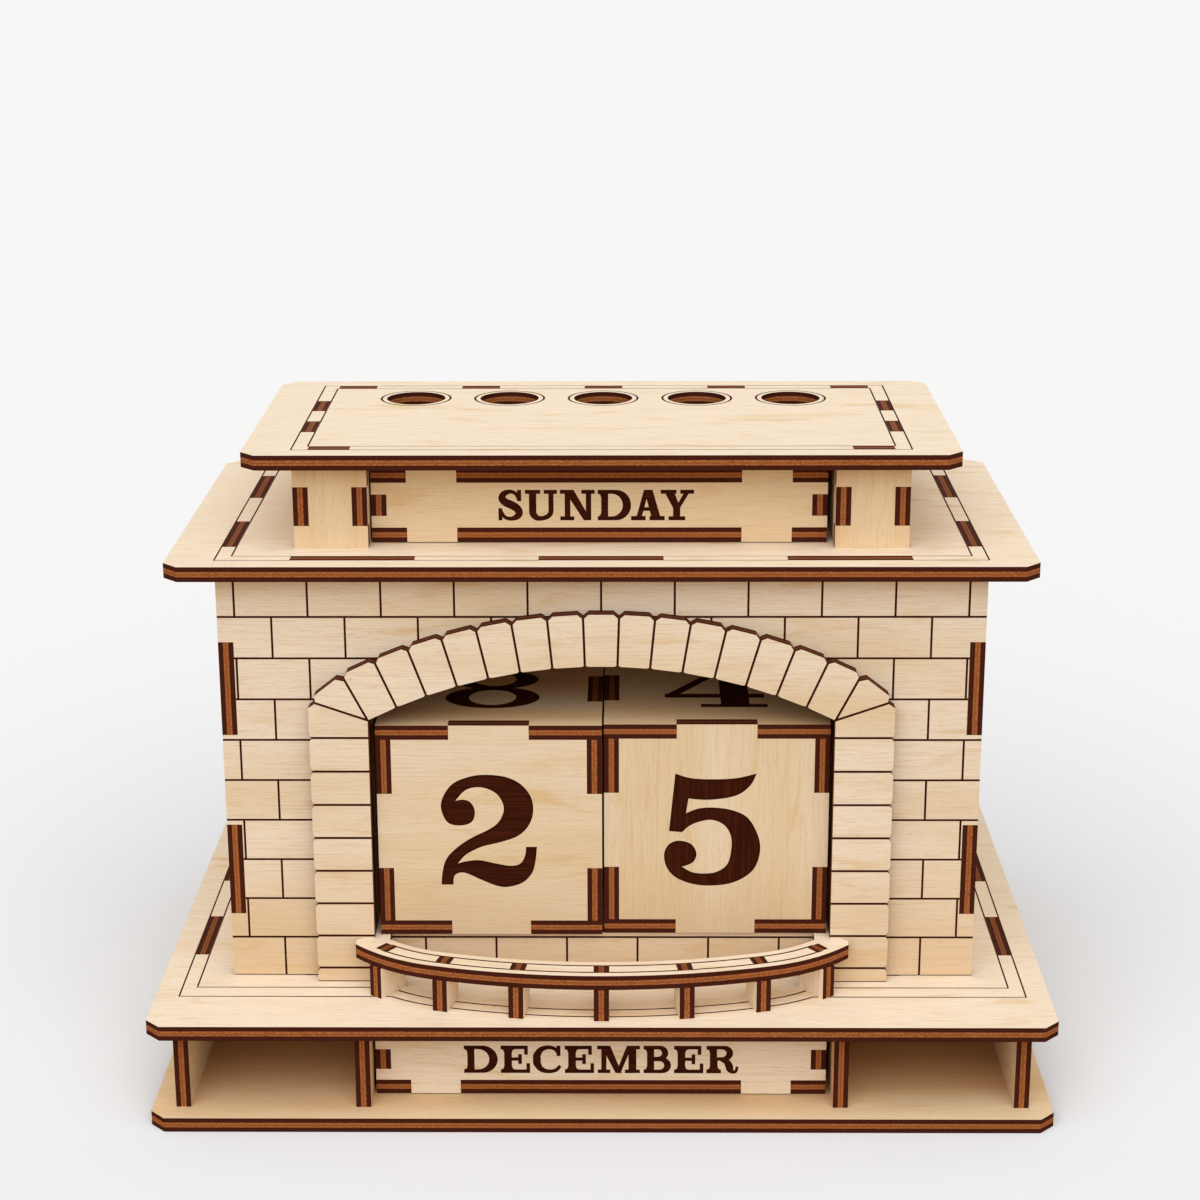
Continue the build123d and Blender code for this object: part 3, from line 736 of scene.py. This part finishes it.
# the lay of a post is read from the place and turn that each post carries
def postLay(net, spot, facing):
    place = net.add("ShaderNodeAttribute", {"attribute_name": "postPlace"}).pick("Vector")
    turn = net.add("ShaderNodeAttribute", {"attribute_name": "postTurn"}).pick("Fac")
    thin = net.combine(turn.math("COSINE", turn), turn.math("SINE", turn), 0.0)
    wide = net.combine(turn.math("SINE", turn) * -1, turn.math("COSINE", turn), 0.0)
    local = net.vector("SUBTRACT", spot, place)
    across, through = (net.vector("DOT_PRODUCT", local, axis) / mm for axis in (wide, thin))
    upright = net.reach(spot, (0, 0, 1)) + net.reach(place, (1, 0, 0))
    return upright, across, through, abs(net.vector("DOT_PRODUCT", facing, thin))


places = postPlaces()
postMesh = bpy.data.meshes.new("fender_post_row")
postMesh.from_pydata([(x * mm, y * mm, 0.0) for x, y, turn in places], [], [])
turns = postMesh.attributes.new("postTurn", "FLOAT", "POINT")
turns.data.foreach_set("value", [turn for x, y, turn in places])
postPieces = newPiece("fender_post_row", postMesh)
runTree(postPieces, "postRow", {**posts, "Material": plyFinish("postPly", postLay, postSeed)}, postRow)
finished(postPieces, "cabinet", "fender_posts")
print("fender posts stand")

# lettering: a bold slab-serif face, drawn on a cap height of 1. a shape is an outline with a mark that says
# whether it is a hole, and a hole cuts every shape of its letter. cut and above are how far letters reach in
# and out, in mm
lettering = {"stem": 0.255, "thin": 0.13, "overhang": 0.115, "bracket": (0.3, 1.2, 2), "tuck": 0.1,
             "flat": 0.01, "bowlSteps": 14, "smooth": 5, "weld": 1e-4, "gap": 0.1, "cut": 0.3, "above": 0.2,
             "closer": {"AY": 0.24, "DA": 0.1, "SU": 0.03, "AT": 0.2, "AR": 0.05, "LY": 0.15, "AP": 0.05,
                        "UA": 0.05, "RY": 0.1, "FR": 0.05}}


# rows of numbers from a text that gives them in hundredths
def hundredths(text):
    return [[float(part) / 100 for part in mark.split(",")] for mark in text.split()]


def outlineOf(text):
    return hundredths(text), False


# boxes from their left, low, right and high sides
def boxes(text):
    return [([(left, low), (right, low), (right, high), (left, high)], False)
            for left, low, right, high in hundredths(text)]


def oval(x, y, reachX, reachY, hole=False, steps=28):
    turns = [2 * pi * step / steps for step in range(steps)]
    return [(x + reachX * cos(turn), y + reachY * sin(turn)) for turn in turns], hole


def loop(x, y, reachX, reachY, sideWeight, topWeight):
    return [oval(x, y, reachX, reachY), oval(x, y, reachX - sideWeight, reachY - topWeight, True)]


# an upright with bracketed slab serifs
def stem(left, head=True, weight=lettering["stem"]):
    thin, over = lettering["thin"], lettering["overhang"]
    share, waist, top = lettering["bracket"]
    right = left + weight
    low = [(left - over, 0), (right + over, 0), (right + over, thin), (right + over * share, thin * waist),
           (right, thin * top)]
    lowLeft = [(left, thin * top), (left - over * share, thin * waist), (left - over, thin)]
    high = [(x, 1 - y) for x, y in [*reversed(low), *reversed(lowLeft)]] if head else [(right, 1), (left, 1)]
    return [*low, *high, *lowLeft], False


# the round side of a letter, from the right edge of its stem
def bowl(left, low, right, high, heavy):
    def half(start, bottom, end, top):
        reach = (top - bottom) / 2
        bend = min(reach, end - start - lettering["flat"])
        turns = [pi * (step / lettering["bowlSteps"] - 0.5) for step in range(lettering["bowlSteps"] + 1)]
        bent = [(end - bend + bend * cos(turn), bottom + reach + reach * sin(turn)) for turn in turns]
        return [(start, top), (start, bottom), *bent]
    thin = lettering["thin"]
    return [(half(left - lettering["tuck"], low, right, high), False),
            (half(left, low + thin, right - heavy, high - thin), True)]


# a smooth curve through points of any size; ends, and places in corners, stay sharp
def smoothed(points, closed=False, corners=()):
    count = len(points)
    sharp = set(corners) if closed else {*corners, 0, count - 1}
    line = []
    for place in range(count if closed else count - 1):
        following = (place + 1) % count
        before = place if place in sharp else (place - 1) % count
        after = following if following in sharp else (following + 1) % count
        steps = 1 if before == place and after == following else lettering["smooth"]
        p, a, b, q = (Vector(points[at]) for at in (before, place, following, after))
        for step in range(steps):
            t = step / steps
            line.append(a + (b - p) * (t / 2) + (p * 2 - a * 5 + b * 4 - q) * (t * t / 2)
                        + (a * 3 - p - b * 3 + q) * (t * t * t / 2))
    return line if closed else line + [Vector(points[-1])]


# a stroke through points of x, y and width
def stroke(text):
    line = smoothed(hundredths(text))
    over, under = [], []
    for place, point in enumerate(line):
        ahead, behind = line[min(place + 1, len(line) - 1)], line[max(place - 1, 0)]
        way = (ahead - behind).xy.normalized() * point.z / 2
        over.append((point.x - way.y, point.y + way.x))
        under.append((point.x + way.y, point.y - way.x))
    return under + over[::-1], False


# a smooth outline, with a star before each corner
def traced(text):
    corners = [place for place, mark in enumerate(text.split()) if mark.startswith("*")]
    return smoothed(hundredths(text.replace("*", "")), True, corners), False


letterForms = {
    "A": (1.13, [outlineOf("15,0 33,0 60,100 43,100"), outlineOf("71,0 102,0 72,100 44,100"),
                 *boxes("27,31,85,43 0,0,49,14 62,0,113,14")]),
    "B": (0.91, [stem(0.115), *bowl(0.35, 0.47, 0.82, 1, 0.21), *bowl(0.35, 0, 0.91, 0.57, 0.23)]),
    "C": (0.95, [stroke("""86,69,12 74,87,13 52,94,14 27,86,19 13.5,65,25 13,50,26 13.5,35,25 27,14,19 52,6,14
                           76,11,13 90,27,11"""), *boxes("78,62,91,100")]),
    "D": (1.12, [stem(0.115), *bowl(0.35, 0, 1.12, 1, 0.28)]),
    "E": (0.97, [stem(0.115),
                 *boxes("30,87,90,100 78,67,90,95 30,0,97,13 85,5,97,36 30,45,68,57 58,33,70,69")]),
    "F": (0.92, [stem(0.115), *boxes("30,87,90,100 78,65,90,95 30,45,66,57 56,33,68,69")]),
    "G": (1.05, [stroke("""86,70,9 74,88,10 52,95,11 27,86,17 13,65,23 12,50,24 13,35,23 27,14,17 52,5,11
                           72,9,12 83,20,16"""), *boxes("78,64,90,100 70,6,94,43 57,37,105,49")]),
    "H": (1.15, [stem(0.115), stem(0.8), *boxes("30,44,85,57")]),
    "I": (0.47, [stem(0.115)]),
    "J": (0.8, [*boxes("42,26,65.5,100 29,87,78,100"),
                stroke("53.8,30,23.5 52,15,20 42,6,13 28,5,10 12,16,10"), oval(0.15, 0.23, 0.12, 0.12)]),
    "L": (0.9, [stem(0.115), *boxes("30,0,90,13 78,5,90,40")]),
    "M": (1.44, [*boxes("14,0,31,97 2,0,44,13 0,87,30,100"), outlineOf("14,100 44,100 82,0 61,0"),
                 outlineOf("62,0 78,0 116,100 99,100"), *boxes("104,5,130,95 103,87,142,100 92,0,142,13")]),
    "N": (1.17, [*boxes("16,0,35,97 1,0,48,13 0,87,30,100"), outlineOf("14,100 46,100 105,0 80,0"),
                 *boxes("87,3,105,100 72,87,117,100")]),
    "O": (1.05, loop(0.525, 0.5, 0.525, 0.515, 0.25, 0.12)),
    "P": (0.95, [stem(0.115), *bowl(0.35, 0.4, 0.94, 1, 0.23)]),
    "R": (1.05, [stem(0.115), *bowl(0.35, 0.46, 0.88, 1, 0.22),
                 stroke("48,50,13 66,43,21 75,27,25 78.5,14,23 87,5.5,14 96,6,11 100,13,10 101.5,25,8")]),
    "S": (0.85, [stroke("""70,70,11 61,87,12 43,94.5,13 22,88,19 14.5,73,25 25,60,26 45,51,27 64,40,26
                           71.5,25,25 64,12,20 43,5.5,13 22,12,12 11,31,10"""),
                 *boxes("65,63,79,100 2,0,15,40")]),
    "T": (1.0, [stem(0.3725, head=False), *boxes("4,87,96,100 3,62,15,95 85,62,97,95")]),
    "U": (1.07, [*boxes("13,30,37.5,100 0,87,51,100 78.5,30,95.5,97 63,87,107,100"),
                 stroke("25.25,34,24.5 27,21,23.5 38,9,19 55,6.5,15 74,12,16 84.5,22,16.5 87,34,17")]),
    "V": (1.05, [outlineOf("10,100 38,100 63,0 45,0"), outlineOf("49,0 62,0 95,100 82,100"),
                 *boxes("0,87,48,100 69,87,105,100")]),
    "W": (1.45, [outlineOf("8,100 35,100 58,0 41,0"), outlineOf("46,0 57,0 83,100 72,100"),
                 outlineOf("58,100 85,100 108,0 91,0"), outlineOf("96,0 107,0 136,100 124,100"),
                 *boxes("0,87,45,100 49,87,91,100 112,87,145,100")]),
    "Y": (1.12, [outlineOf("9,100 42,100 66,44 42,40"), outlineOf("50,41 66,41 102,100 84,100"),
                 *boxes("42,5,66,46 27,0,83,13 0,87,53,100 66,87,112,100")]),
    "0": (0.8, loop(0.4, 0.5, 0.4, 0.5, 0.24, 0.1)),
    "1": (0.8, [stem(0.26, head=False, weight=0.28), outlineOf("30,100 6,88 6,77 30,84"),
                *boxes("4,0,76,12")]),
    "2": (0.8, [traced("""*0,2 1,13 4,24 11,33 24,43 41,52 49,59 53,70 49,81 41,87 31,89 21,86 *13,77 20,78
                          26,75 29,67 26,58 16,55 6,58 1,70 3,81 11,92 24,98 38,100 55,98 68,91 76,79 77,65
                          72,53 63,45 49,40 34,36 21,29 *14,21 21,23 32,24 46,21 58,19 66,21 70,28 *71,36
                          *80,36 79,25 76,13 68,4 56,0 46,1 32,7 24,11 17,13 11,10 *10,2""")]),
    "3": (0.8, [stroke("14,80,12 22,92,10 38,95,10 54,89,20 60,75,26 52,60,20 34,53.5,10"),
                stroke("34,53,10 56,46,22 65,28,29 56,11,22 37,5,10 20,9,10 12,20,12"),
                oval(0.15, 0.77, 0.13, 0.12), oval(0.135, 0.22, 0.135, 0.13), *boxes("24,48,42,58")]),
    "4": (0.84, [*boxes("47,0,71,100 30,0,86,8 0,24,84,34"), outlineOf("0,30 11,30 56,100 46,100"),
                 outlineOf("46,100 46,93 71,93 71,100")]),
    "5": (0.8, [traced("""*9,100 22,96 40,95 59,96 *76,100 72,91 64,83 54,79 40,77 29,77 *20,78 *18,65 28,69
                          40,70 55,68 68,62 76,50 80,35 77,19 69,9 55,2 37,0 22,2 9,8 2,17 0,28 3,36 9,40
                          16,40 23,37 27,29 24,21 *15,17 24,12 35,11 45,13 53,20 56,34 55,46 49,55 39,59 28,57
                          20,53 *15,48 *4,49""")]),
    "6": (0.8, [*loop(0.4, 0.32, 0.4, 0.32, 0.24, 0.09), oval(0.63, 0.8, 0.125, 0.12),
                stroke("68,86,10 58,94,10 42,94,11 24,82,20 13,60,25 12,33,23.5")]),
    "7": (0.8, [outlineOf("0,100 0,66 8,66 14,80 80,80 80,100"),
                outlineOf("60,85 80,85 60,44 53,0 24,0 34,42")]),
    "8": (0.8, [*loop(0.4, 0.745, 0.375, 0.255, 0.19, 0.085), *loop(0.4, 0.275, 0.4, 0.275, 0.2, 0.085)]),
}


# points and triangles of a letter, with its shapes merged and its holes out
def mergedLetter(letter):
    points, faces, holes = [], [], set()
    for outline, hole in letterForms[letter][1]:
        area = sum(a[0] * b[1] - b[0] * a[1] for a, b in zip(outline, [*outline[1:], outline[0]]))
        if hole:
            holes.add(len(faces))
        faces.append(list(range(len(points), len(points) + len(outline))))
        points += [Vector(point[:2]) for point in (outline if area > 0 else reversed(outline))]
    # 1 asks for the triangles that lie in any of the shapes
    spots, _, triangles, *_, sources = delaunay_2d_cdt(points, [], faces, 1, lettering["weld"])
    return spots, [triangle for triangle, source in zip(triangles, sources)
                   if source and not holes.intersection(source)]


# which way is right and up for someone who looks at a side
sides = {"front": ((1, 0, 0), (0, 0, 1)), "back": ((-1, 0, 0), (0, 0, 1)), "top": ((1, 0, 0), (0, 1, 0)),
         "bottom": ((1, 0, 0), (0, -1, 0)), "left": ((0, -1, 0), (0, 0, 1)), "right": ((0, 1, 0), (0, 0, 1))}


# the middle of a board's outside, and the ways right, up and out of it
def outsideOf(node, side, shift=(0, 0, 0)):
    right, up = (Vector(way) for way in sides[side])
    out = right.cross(up)
    low, high = (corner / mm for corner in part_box(node))
    half = sum(abs(way) * size for way, size in zip(out, high - low)) / 2
    return (low + high) / 2 + out * half + Vector(shift), right, up, out


# where each letter of a word starts, and how wide the word is, for a height of 1
def setOut(text):
    starts, width = [], 0.0
    for place, letter in enumerate(text):
        if place:
            width += lettering["gap"] - lettering["closer"].get(text[place - 1:place + 1], 0.0)
        starts.append(width)
        width += letterForms[letter][0]
    return starts, width


# letters as prisms that reach into a board
def letterPrisms(text, place, height, stretch=1.0, offset=0.0):
    middle, right, up, out = place
    starts, total = setOut(text)
    shape = bmesh.new()
    for letter, left in zip(text, starts):
        start = left - total / 2
        spots, triangles = mergedLetter(letter)
        layers = []
        for level in (-lettering["cut"], lettering["above"]):
            layers.append([shape.verts.new((middle + right * ((start + spot.x) * height * stretch + offset)
                                            + up * (spot.y - 0.5) * height + out * level) * mm)
                           for spot in spots])
        rims = {}
        for triangle in triangles:
            shape.faces.new([layers[1][corner] for corner in triangle])
            shape.faces.new([layers[0][corner] for corner in reversed(triangle)])
            for edge in zip(triangle, [*triangle[1:], triangle[0]]):
                rims[edge] = True
        for first, second in rims:
            if (second, first) not in rims:
                shape.faces.new([layers[0][first], layers[0][second], layers[1][second], layers[1][first]])
    loose = [corner for corner in shape.verts if not corner.link_faces]
    bmesh.ops.delete(shape, geom=loose, context="VERTS")
    return pieceFrom(shape, "letters")


# day cubes: one numeral on each side of each cube, which reach every day from 01 to 31
numerals = {"height": 24.2, "nudge": {"left_cube_front": -0.3, "right_cube_front": -0.75},
            "sides": ("front", "top", "right", "left", "back", "bottom"), "left": "280176", "right": "543012"}

for cube in ("left", "right"):
    for side, numeral in zip(numerals["sides"], numerals[cube]):
        node = f"{cube}_cube_{side}"
        face = mergedBoard(node, f"{node}_numeral")
        carve(face, letterPrisms(numeral, outsideOf(node, side), numerals["height"],
                                 offset=numerals["nudge"].get(node, 0.0)))
        finished(face, f"day_cube_{cube}", node)
print("day cubes are numbered")

# month and weekday blocks: a word on each long side. the width is that of the first word, and the rest follow
# it. each row is a block, and the blocks after the first stand behind it
words = {"sides": ("front", "top", "back", "bottom"), "pitch": 15.5,
         "month": {"height": 6.1, "width": 55.2, "offset": 0.05,
                   "rows": ("DECEMBER NOVEMBER OCTOBER SEPTEMBER", "AUGUST JULY JUNE MAY",
                            "APRIL MARCH FEBRUARY JANUARY")},
         "weekday": {"height": 6.25, "width": 38.95, "offset": -0.67,
                     "rows": ("SUNDAY MONDAY TUESDAY WEDNESDAY", "THURSDAY FRIDAY SATURDAY")}}


def wordBoard(kind, side, word, row, name):
    data = words[kind]
    node = f"{kind}_block_{side}"
    shift = (0, words["pitch"] * row, 0)
    board = mergedBoard(node, name, shift)
    if word:
        stretch = data["width"] / setOut(data["rows"][0].split()[0])[1] / data["height"]
        place = outsideOf(node, side, shift)
        carve(board, letterPrisms(word, place, data["height"], stretch, data["offset"]))
    return board


# several boards as one mesh, each with its own finish
def joined(name, boards):
    points, faces, finishes = [], [], []
    for board in boards:
        start = len(points)
        points += [corner.co.copy() for corner in board.data.vertices]
        faces += [[start + corner for corner in face.vertices] for face in board.data.polygons]
        finishes += [len(set(finishes))] * len(board.data.polygons)
    mesh = bpy.data.meshes.new(name)
    mesh.from_pydata(points, [], faces)
    for board in boards:
        mesh.materials.append(board.data.materials[0])
        bpy.data.objects.remove(board)
    mesh.polygons.foreach_set("material_index", finishes)
    return newPiece(name, mesh)


for kind in ("month", "weekday"):
    for row, texts in enumerate(words[kind]["rows"]):
        texts = dict(zip(words["sides"], texts.split()))
        if row == 0:
            for side, word in texts.items():
                board = wordBoard(kind, side, word, 0, f"{kind}_block_{side}_word")
                finished(board, f"front_{kind}_block", f"{kind}_block_{side}")
            continue
        name = f"spare_{kind}_words_{row}"
        boards = [wordBoard(kind, side, texts.get(side, ""), row, f"{name}_{side}")
                  for side in (*words["sides"], "left_end", "right_end")]
        spare = joined(name, boards)
        if kind == "month":
            finished(spare, ("month_spare_middle", "month_spare_rear")[row - 1], f"spare_month_block_{row}")
        else:
            finished(spare, "weekday_spare", "spare_weekday_block")
print("blocks have their words")
